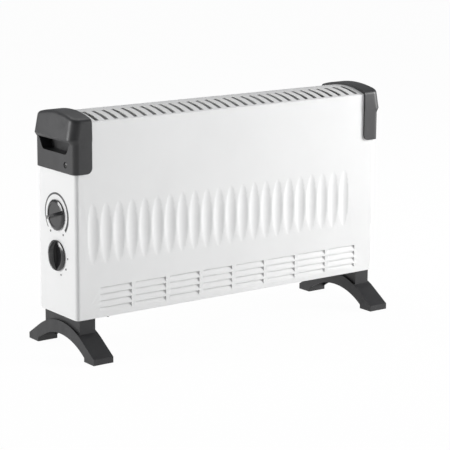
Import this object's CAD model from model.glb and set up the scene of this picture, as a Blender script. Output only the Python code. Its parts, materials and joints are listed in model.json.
"""Looks of a free-standing convector heater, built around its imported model."""

import json
import math

import bmesh
import bpy
from mathutils import Matrix, Vector


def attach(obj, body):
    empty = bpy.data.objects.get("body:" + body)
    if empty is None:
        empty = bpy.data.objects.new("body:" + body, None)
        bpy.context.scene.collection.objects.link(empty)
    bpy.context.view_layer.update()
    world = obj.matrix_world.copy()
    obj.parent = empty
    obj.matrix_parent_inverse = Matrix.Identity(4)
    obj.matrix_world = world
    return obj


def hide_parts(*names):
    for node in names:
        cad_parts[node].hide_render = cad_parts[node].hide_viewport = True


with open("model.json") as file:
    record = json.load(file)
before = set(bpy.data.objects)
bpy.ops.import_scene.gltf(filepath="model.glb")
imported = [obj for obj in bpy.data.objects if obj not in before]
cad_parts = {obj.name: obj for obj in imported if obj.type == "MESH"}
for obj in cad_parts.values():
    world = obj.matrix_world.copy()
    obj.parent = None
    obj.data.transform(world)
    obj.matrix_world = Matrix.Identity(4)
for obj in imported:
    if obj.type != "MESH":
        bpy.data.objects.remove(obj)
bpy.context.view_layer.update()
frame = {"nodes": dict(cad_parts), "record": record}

MM = 0.001
BODY = "heater"

# Welding distance in metres, and the angle in radians under which faces are merged
WELD_DISTANCE = 2e-6
FLAT_ANGLE = 0.004

# Camera, solved from the photograph's vanishing points
CAMERA_PLACE = Vector((-1.58385, -2.1814, 0.7501))
CAMERA_FORWARD = Vector((0.5795, 0.7863, -0.2142))
CAMERA_ROLL = math.radians(0.41)
CAMERA_LENS = 140.93
CAMERA_SENSOR = 36.0
CAMERA_CLIP_END = 50.0


def add_object(name, data):
    """A new object of a mesh, lamp or camera, linked to the scene."""
    added = bpy.data.objects.new(name, data)
    bpy.context.scene.collection.objects.link(added)
    return added


def set_inputs(node, **values):
    """Sets a node's own sockets by name, with underscores for spaces."""
    for name, value in values.items():
        node.inputs[name.replace("_", " ")].default_value = value


def new_material(name):
    """An empty node material with its output and a principled shader."""
    material = bpy.data.materials.new(name)
    material.use_nodes = True
    nodes = material.node_tree.nodes
    nodes.clear()
    output = nodes.new("ShaderNodeOutputMaterial")
    shader = nodes.new("ShaderNodeBsdfPrincipled")
    material.node_tree.links.new(shader.outputs[0], output.inputs["Surface"])
    return material, nodes, material.node_tree.links, shader


def noise(nodes, links, scale, detail, stretch=(1, 1, 1)):
    """Noise in the part's own space, scale in features per metre."""
    place = nodes.new("ShaderNodeTexCoord")
    mapping = nodes.new("ShaderNodeMapping")
    mapping.inputs["Scale"].default_value = stretch
    texture = nodes.new("ShaderNodeTexNoise")
    texture.inputs["Scale"].default_value = scale
    texture.inputs["Detail"].default_value = detail
    links.new(place.outputs["Object"], mapping.inputs["Vector"])
    links.new(mapping.outputs[0], texture.inputs["Vector"])
    return texture.outputs[0]


def ramp(nodes, links, source, low, high, start=0.35, stop=0.65):
    """Maps a noise value between two greys or two colours."""
    node = nodes.new("ShaderNodeValToRGB")
    for element, position, value in zip(node.color_ramp.elements, (start, stop), (low, high)):
        element.position = position
        element.color = (*value, 1) if isinstance(value, tuple) else (value, value, value, 1)
    links.new(source, node.inputs["Fac"])
    return node.outputs[0]


def bump(nodes, links, shader, source, strength, height):
    """Adds a fine relief, height in metres."""
    node = nodes.new("ShaderNodeBump")
    set_inputs(node, Strength=strength, Distance=height)
    links.new(source, node.inputs["Height"])
    links.new(node.outputs[0], shader.inputs["Normal"])


def powder_coat(name, tone, roughness):
    """Satin stoved paint with a faint orange peel and slow changes of tone."""
    material, nodes, links, shader = new_material(name)
    set_inputs(shader, Specular_IOR_Level=0.42, Coat_Weight=0.06, Coat_Roughness=0.3)
    slow = noise(nodes, links, 9, 3)
    low = tuple(0.975 * c for c in tone)
    links.new(ramp(nodes, links, slow, low, tone), shader.inputs["Base Color"])
    grain = noise(nodes, links, 160, 4)
    rough = ramp(nodes, links, grain, roughness - 0.04, roughness + 0.05)
    links.new(rough, shader.inputs["Roughness"])
    bump(nodes, links, shader, noise(nodes, links, 620, 2), 0.16, 0.00006)
    return material


def moulded_plastic(name, tone, roughness, grain_scale, relief):
    """Moulded plastic with a fine spark-eroded grain and handling marks."""
    material, nodes, links, shader = new_material(name)
    set_inputs(shader, Specular_IOR_Level=0.5)
    slow = noise(nodes, links, 22, 4)
    low = tuple(0.86 * c for c in tone)
    high = tuple(1.1 * c for c in tone)
    links.new(ramp(nodes, links, slow, low, high), shader.inputs["Base Color"])
    wear = noise(nodes, links, 55, 5)
    rough = ramp(nodes, links, wear, roughness - 0.05, roughness + 0.07)
    links.new(rough, shader.inputs["Roughness"])
    bump(nodes, links, shader, noise(nodes, links, grain_scale, 2), 0.35, relief)
    return material


def gloss_plastic(name, tone):
    """Polished black moulding with faint wiping marks."""
    material, nodes, links, shader = new_material(name)
    set_inputs(shader, Specular_IOR_Level=0.5, Coat_Weight=0.35, Coat_Roughness=0.06)
    slow = noise(nodes, links, 70, 3)
    links.new(ramp(nodes, links, slow, tone, tuple(1.3 * c for c in tone)), shader.inputs["Base Color"])
    wipes = noise(nodes, links, 120, 4, (1, 6, 1))
    links.new(ramp(nodes, links, wipes, 0.13, 0.24), shader.inputs["Roughness"])
    bump(nodes, links, shader, noise(nodes, links, 90, 2), 0.05, 0.00004)
    return material


def sheet_metal(name, tone, roughness, stretch):
    """Bare metal with rolling or extrusion lines along one direction."""
    material, nodes, links, shader = new_material(name)
    set_inputs(shader, Metallic=1.0)
    lines = noise(nodes, links, 260, 5, stretch)
    low = tuple(0.84 * c for c in tone)
    links.new(ramp(nodes, links, lines, low, tone), shader.inputs["Base Color"])
    links.new(ramp(nodes, links, lines, roughness - 0.08, roughness + 0.1), shader.inputs["Roughness"])
    bump(nodes, links, shader, lines, 0.2, 0.00003)
    return material


WHITE = powder_coat("white_powder_coat", (0.80, 0.80, 0.795), 0.36)
CAP_GREY = moulded_plastic("dark_grey_moulding", (0.026, 0.026, 0.0275), 0.42, 1500, 0.00005)
FOOT_BLACK = moulded_plastic("black_moulding", (0.017, 0.017, 0.0185), 0.46, 1300, 0.00006)
GLAND_BLACK = moulded_plastic("black_nylon", (0.018, 0.018, 0.018), 0.5, 900, 0.00004)
KNOB_BLACK = gloss_plastic("polished_black_moulding", (0.008, 0.008, 0.009))
CERAMIC = moulded_plastic("glazed_ceramic", (0.62, 0.58, 0.50), 0.28, 400, 0.00002)
SWITCH_CREAM = moulded_plastic("switch_moulding", (0.50, 0.44, 0.32), 0.45, 700, 0.00003)
PRINT_INK = moulded_plastic("printed_ink", (0.06, 0.06, 0.062), 0.5, 900, 0.00001)
ZINC = sheet_metal("zinc_plated_sheet", (0.52, 0.52, 0.51), 0.38, (1, 1, 8))
FINS = sheet_metal("extruded_aluminium", (0.66, 0.66, 0.67), 0.34, (0.4, 8, 8))
SCREW_STEEL = sheet_metal("zinc_plated_steel", (0.48, 0.47, 0.45), 0.3, (4, 4, 4))
SCREW_BLACK = sheet_metal("blackened_steel", (0.10, 0.10, 0.10), 0.34, (4, 4, 4))
TINNED = sheet_metal("tinned_brass", (0.60, 0.56, 0.42), 0.3, (4, 4, 4))

# Each node's material and edge rounding in millimetres, where 0 leaves its edges sharp
FINISHES = {
    "front_casing": (WHITE, 0),
    "back_panel": (WHITE, 0),
    "bottom_tray": (ZINC, 0),
    "left_cap": (CAP_GREY, 0.8),
    "right_cap": (CAP_GREY, 0.8),
    "left_foot": (FOOT_BLACK, 0.9),
    "right_foot": (FOOT_BLACK, 0.9),
    "heating_element_front": (FINS, 0.3),
    "heating_element_rear": (FINS, 0.3),
    "element_insulators": (CERAMIC, 0.4),
    "element_terminals": (TINNED, 0.15),
    "element_bracket_left": (ZINC, 0),
    "element_bracket_right": (ZINC, 0),
    "control_shield": (ZINC, 0),
    "thermal_cutout": (TINNED, 0.4),
    "heat_shield": (ZINC, 0),
    "thermostat_body": (SWITCH_CREAM, 0.4),
    "selector_body": (SWITCH_CREAM, 0.4),
    "switch_terminals": (TINNED, 0.15),
    "terminal_block": (CERAMIC, 0.6),
    "terminal_screws": (SCREW_STEEL, 0.2),
    "cable_gland": (GLAND_BLACK, 0.5),
    "gland_nut": (GLAND_BLACK, 0.4),
    "thermostat_dial": (KNOB_BLACK, 0.5),
    "selector_dial": (KNOB_BLACK, 0.5),
    "thermostat_spindle": (SCREW_STEEL, 0.2),
    "selector_spindle": (SCREW_STEEL, 0.2),
}
# Screws that get domed heads with a cross recess
SCREW_NODES = {
    "cap_screws": SCREW_BLACK,
    "foot_screws": SCREW_STEEL,
    "back_panel_screws": SCREW_STEEL,
    "bracket_screws": SCREW_STEEL,
    "switch_screws": SCREW_STEEL,
}
SMOOTH_DEGREES = 28
SCREW_SMOOTH_DEGREES = 35
BEVEL_DEGREES = 40
BODY_OF = {node: body for body, nodes in frame["record"]["behaviour"]["bodies"].items() for node in nodes}


def place_piece(name, mesh, material, node):
    """Puts a mesh in the place of a node, on the node's body."""
    mesh.materials.clear()
    mesh.materials.append(material)
    piece = add_object(name, mesh)
    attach(piece, BODY_OF[node])
    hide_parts(node)
    return piece


def shade_by_angle(mesh, degrees):
    """Smooth faces, with edges past an angle kept sharp."""
    limit = math.radians(degrees)
    work = bmesh.new()
    work.from_mesh(mesh)
    for face in work.faces:
        face.smooth = True
    for edge in work.edges:
        edge.smooth = len(edge.link_faces) == 2 and edge.calc_face_angle(math.pi) < limit
    work.to_mesh(mesh)
    work.free()


def dressed(node, material, rounding):
    """A finished piece of a node's own form: welded, with edges rounded where a width is given."""
    mesh = frame["nodes"][node].data.copy()
    work = bmesh.new()
    work.from_mesh(mesh)
    bmesh.ops.remove_doubles(work, verts=work.verts, dist=WELD_DISTANCE)
    if rounding:
        shared = [edge for edge in work.edges if len(edge.link_faces) == 2]
        flat = [edge for edge in shared if edge.calc_face_angle(math.pi) < FLAT_ANGLE]
        bmesh.ops.dissolve_edges(work, edges=flat, use_verts=False, use_face_split=False)
    bmesh.ops.recalc_face_normals(work, faces=work.faces)
    work.to_mesh(mesh)
    work.free()
    loaded_normals = mesh.attributes.get("custom_normal")
    if loaded_normals:
        mesh.attributes.remove(loaded_normals)
    shade_by_angle(mesh, SMOOTH_DEGREES)
    piece = place_piece(node + "_finished", mesh, material, node)
    if rounding:
        bevel = piece.modifiers.new("edge_rounding", "BEVEL")
        bevel.width = rounding * MM
        bevel.segments = 3
        bevel.limit_method = "ANGLE"
        bevel.angle_limit = math.radians(BEVEL_DEGREES)
        bevel.harden_normals = False
        bevel.use_clamp_overlap = True
        bevel.miter_outer = "MITER_ARC"
    weights = piece.modifiers.new("flat_face_normals", "WEIGHTED_NORMAL")
    weights.keep_sharp = not rounding
    weights.weight = 60


for node_name, (finish, edge_rounding) in FINISHES.items():
    dressed(node_name, finish, edge_rounding)


# Screw proportions as shares of the head's radius or height, and the rings and steps of its mesh
RIM_SHARE = 0.9
DOME_EDGE = 0.35
CROSS_REACH = 0.62
CROSS_HALF_WIDTH = 0.13
CROSS_DEPTH = 0.55
CROSS_DRAFT = 0.07
SHANK_SHARE = 0.53
HEAD_RINGS = 20
HEAD_TURNS = 48


def islands(mesh):
    """The separate solids of a node, each as a list of points."""
    work = bmesh.new()
    work.from_mesh(mesh)
    bmesh.ops.remove_doubles(work, verts=work.verts, dist=WELD_DISTANCE)
    found = []
    left_over = set(work.verts)
    while left_over:
        start = left_over.pop()
        group = [start]
        edge_of = [start]
        while edge_of:
            for edge in edge_of.pop().link_edges:
                for vert in edge.verts:
                    if vert in left_over:
                        left_over.remove(vert)
                        group.append(vert)
                        edge_of.append(vert)
        found.append([vert.co.copy() for vert in group])
    work.free()
    return found


def screw_frame(points):
    """Middle of the seat, outward direction, head radius, head height and shank length of a screw."""
    low = Vector([min(p[i] for p in points) for i in range(3)])
    high = Vector([max(p[i] for p in points) for i in range(3)])
    middle = (low + high) / 2
    axis = max(range(3), key=lambda i: high[i] - low[i])
    others = [i for i in range(3) if i != axis]
    radius = (high[others[0]] - low[others[0]]) / 2

    def off_axis(point):
        return math.hypot(*(point[i] - middle[i] for i in others))

    rim = [point[axis] for point in points if off_axis(point) > RIM_SHARE * radius]
    outward = Vector((0, 0, 0))
    outward[axis] = 1 if (max(rim) + min(rim)) / 2 > middle[axis] else -1
    seat = middle.copy()
    seat[axis] = min(rim) if outward[axis] > 0 else max(rim)
    head = max(rim) - min(rim)
    return seat, outward, radius, head, high[axis] - low[axis] - head


def crossed_height(x, y, radius, head):
    """Height of a domed head with a cross recess at a place on it."""
    share = min(1.0, math.hypot(x, y) / radius)
    dome = head * (DOME_EDGE + (1 - DOME_EDGE) * math.sqrt(max(0.0, 1 - share**2)))
    arm = CROSS_REACH * radius
    width = CROSS_HALF_WIDTH * radius
    near = min(max(abs(x) - arm, abs(y) - width), max(abs(y) - arm, abs(x) - width))
    depth = CROSS_DEPTH * head * min(1.0, max(0.0, -near / (CROSS_DRAFT * radius)))
    return dome - depth


def screw_loop(work, seat, turn, reach, height_at):
    """A ring of vertices about a screw's axis, at a height given for each place."""
    loop = []
    for step in range(HEAD_TURNS):
        swing = 2 * math.pi * step / HEAD_TURNS
        x, y = reach * math.cos(swing), reach * math.sin(swing)
        loop.append(work.verts.new(seat + turn @ Vector((x, y, height_at(x, y)))))
    return loop


def cross_headed(node, material):
    """Domed screws with cross recesses in the place of a node's plain ones."""
    work = bmesh.new()
    for points in islands(frame["nodes"][node].data):
        seat, outward, radius, head, shank = screw_frame(points)
        turn = outward.to_track_quat("Z", "Y").to_matrix()

        def domed(x, y):
            return crossed_height(x, y, radius, head)

        loops = []
        for ring in range(1, HEAD_RINGS + 1):
            loops.append(screw_loop(work, seat, turn, radius * ring / HEAD_RINGS, domed))
        shank_radius = SHANK_SHARE * radius
        for reach, height in ((radius, 0), (shank_radius, 0), (shank_radius, -shank)):
            loops.append(screw_loop(work, seat, turn, reach, lambda x, y, level=height: level))
        middle = work.verts.new(seat + turn @ Vector((0, 0, domed(0, 0))))
        for step in range(HEAD_TURNS):
            after = (step + 1) % HEAD_TURNS
            work.faces.new((middle, loops[0][step], loops[0][after]))
            for inner, outer in zip(loops, loops[1:]):
                work.faces.new((inner[step], outer[step], outer[after], inner[after]))
        work.faces.new(loops[-1][::-1])
    bmesh.ops.recalc_face_normals(work, faces=work.faces)
    mesh = bpy.data.meshes.new(node + "_crossed")
    work.to_mesh(mesh)
    work.free()
    shade_by_angle(mesh, SCREW_SMOOTH_DEGREES)
    place_piece(node + "_crossed", mesh, material, node)


for node_name, finish in SCREW_NODES.items():
    cross_headed(node_name, finish)


# Printed marks round the thermostat and beside the selector
SIDE_WALL_X = -282.35 * MM
INK_GAP = 0.12 * MM
DIAL_Y = 1.0 * MM
THERMOSTAT_Z = 209.0 * MM
SELECTOR_Z = 148.0 * MM
INK_THICKNESS = 0.1 * MM
INK_WELD = 0.01 * MM
INK_X = SIDE_WALL_X - INK_GAP
ARC_STEPS = 72
DOT_STEPS = 28
ARC_RADIUS = 33.5 * MM
ARC_WARM_WIDTH = 4.6 * MM
ARC_COOL_WIDTH = 1.4 * MM
ARC_END_CLOCK = 132


def wall_point(centre_z, radius, clock):
    """A point on the side wall, clock degrees from the top towards the front."""
    swing = math.radians(clock)
    return (INK_X, DIAL_Y - radius * math.sin(swing), centre_z + radius * math.cos(swing))


def printed(name, outlines):
    """A thin printed patch on the side wall, from the outlines of its tiles."""
    work = bmesh.new()
    for outline in outlines:
        work.faces.new([work.verts.new(point) for point in outline])
    bmesh.ops.remove_doubles(work, verts=work.verts, dist=INK_WELD)
    tiles = list(work.faces)
    depth = Vector((-INK_THICKNESS, 0, 0))
    grown = bmesh.ops.extrude_face_region(work, geom=tiles)["geom"]
    bmesh.ops.translate(work, vec=depth, verts=[g for g in grown if isinstance(g, bmesh.types.BMVert)])
    bmesh.ops.recalc_face_normals(work, faces=work.faces)
    mesh = bpy.data.meshes.new(name)
    work.to_mesh(mesh)
    work.free()
    mesh.materials.append(PRINT_INK)
    piece = add_object(name, mesh)
    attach(piece, BODY)


def heat_scale(name, centre_z, radius, end_clock):
    """An arc that widens from its cool end at the back to its warm end at the front."""
    rungs = []
    for i in range(ARC_STEPS + 1):
        share = i / ARC_STEPS
        clock = end_clock * (2 * share - 1)
        width = ARC_COOL_WIDTH + (ARC_WARM_WIDTH - ARC_COOL_WIDTH) * share
        rungs.append((wall_point(centre_z, radius, clock), wall_point(centre_z, radius - width, clock)))
    tiles = []
    for here, there in zip(rungs, rungs[1:]):
        tiles.append([here[0], here[1], there[1], there[0]])
    printed(name, tiles)


def dot(name, centre_z, radius, clock, size):
    """A round printed dot at a clock angle about a knob."""
    middle = wall_point(centre_z, radius, clock)
    outline = []
    for i in range(DOT_STEPS):
        swing = 2 * math.pi * i / DOT_STEPS
        outline.append((INK_X, middle[1] + size * math.sin(swing), middle[2] + size * math.cos(swing)))
    printed(name, [outline])


heat_scale("thermostat_scale", THERMOSTAT_Z, ARC_RADIUS, ARC_END_CLOCK)
for index, clock_angle in enumerate((-146, 147)):
    dot(f"thermostat_dot_{index}", THERMOSTAT_Z, 32.5 * MM, clock_angle, 1.7 * MM)
for index, clock_angle in enumerate((90, 125, 160)):
    dot(f"selector_dot_{index}", SELECTOR_Z, 29.5 * MM, clock_angle, 1.5 * MM)


# Floor, world and lamps
def backdrop_material(name, share):
    """Glows white to camera and glossy rays by a share, and is matt white for the rest."""
    material = bpy.data.materials.new(name)
    material.use_nodes = True
    nodes = material.node_tree.nodes
    links = material.node_tree.links
    nodes.clear()
    output = nodes.new("ShaderNodeOutputMaterial")
    mix = nodes.new("ShaderNodeMixShader")
    diffuse = nodes.new("ShaderNodeBsdfDiffuse")
    diffuse.inputs["Color"].default_value = (0.9, 0.9, 0.9, 1)
    glow = nodes.new("ShaderNodeEmission")
    path = nodes.new("ShaderNodeLightPath")
    seen = nodes.new("ShaderNodeMath")
    seen.operation = "MAXIMUM"
    part = nodes.new("ShaderNodeMath")
    part.operation = "MULTIPLY"
    part.inputs[1].default_value = share
    links.new(path.outputs["Is Camera Ray"], seen.inputs[0])
    links.new(path.outputs["Is Glossy Ray"], seen.inputs[1])
    links.new(seen.outputs[0], part.inputs[0])
    links.new(part.outputs[0], mix.inputs[0])
    links.new(diffuse.outputs[0], mix.inputs[1])
    links.new(glow.outputs[0], mix.inputs[2])
    links.new(mix.outputs[0], output.inputs["Surface"])
    return material


FLOOR_HALF_SIZE = 7.0
FLOOR_WHITE_SHARE = 0.97
floor_mesh = bpy.data.meshes.new("floor")
corner_signs = ((-1, -1), (1, -1), (1, 1), (-1, 1))
floor_corners = [(x * FLOOR_HALF_SIZE, y * FLOOR_HALF_SIZE, 0) for x, y in corner_signs]
floor_mesh.from_pydata(floor_corners, [], [(0, 1, 2, 3)])
floor_mesh.materials.append(backdrop_material("studio_floor", FLOOR_WHITE_SHARE))
floor = add_object("floor", floor_mesh)

world = bpy.data.worlds.new("studio")
bpy.context.scene.world = world
world.use_nodes = True
world_nodes = world.node_tree.nodes
world_links = world.node_tree.links
world_nodes.clear()
world_output = world_nodes.new("ShaderNodeOutputWorld")
world_mix = world_nodes.new("ShaderNodeMixShader")
world_seen = world_nodes.new("ShaderNodeMath")
world_seen.operation = "MAXIMUM"
world_path = world_nodes.new("ShaderNodeLightPath")
ambient = world_nodes.new("ShaderNodeBackground")
set_inputs(ambient, Color=(0.96, 0.975, 1.0, 1), Strength=0.29)
white = world_nodes.new("ShaderNodeBackground")
set_inputs(white, Color=(1, 1, 1, 1), Strength=1.0)
world_links.new(world_path.outputs["Is Camera Ray"], world_seen.inputs[0])
world_links.new(world_path.outputs["Is Transmission Ray"], world_seen.inputs[1])
world_links.new(world_seen.outputs[0], world_mix.inputs[0])
world_links.new(ambient.outputs[0], world_mix.inputs[1])
world_links.new(white.outputs[0], world_mix.inputs[2])
world_links.new(world_mix.outputs[0], world_output.inputs["Surface"])


def softbox(name, place, target, size, power):
    """A rectangular area lamp aimed at a point."""
    data = bpy.data.lights.new(name, "AREA")
    data.shape = "RECTANGLE"
    data.size, data.size_y = size
    data.energy = power
    lamp = add_object(name, data)
    lamp.location = place
    lamp.rotation_euler = (Vector(target) - Vector(place)).to_track_quat("-Z", "Y").to_euler()


softbox("front_right", (2.1, -1.15, 0.8), (0.1, 0, 0.18), (0.9, 1.2), 67)
softbox("left_rear", (-1.85, 0.85, 0.7), (-0.25, 0, 0.25), (0.8, 0.9), 25)
softbox("overhead", (0.2, 0.9, 2.1), (0, 0, 0.2), (1.6, 1.0), 11)

# Camera
side = CAMERA_FORWARD.cross(Vector((0, 0, 1))).normalized()
above = side.cross(CAMERA_FORWARD).normalized()
rolled_side = math.cos(CAMERA_ROLL) * side + math.sin(CAMERA_ROLL) * above
rolled_above = math.cos(CAMERA_ROLL) * above - math.sin(CAMERA_ROLL) * side
camera_data = bpy.data.cameras.new("camera")
camera_data.lens = CAMERA_LENS
camera_data.sensor_width = CAMERA_SENSOR
camera_data.clip_end = CAMERA_CLIP_END
camera = add_object("camera", camera_data)
axes = Matrix((rolled_side, rolled_above, -CAMERA_FORWARD)).transposed()
camera.matrix_world = Matrix.Translation(CAMERA_PLACE) @ axes.to_4x4()
bpy.context.scene.camera = camera
bpy.context.scene.view_settings.view_transform = "Standard"
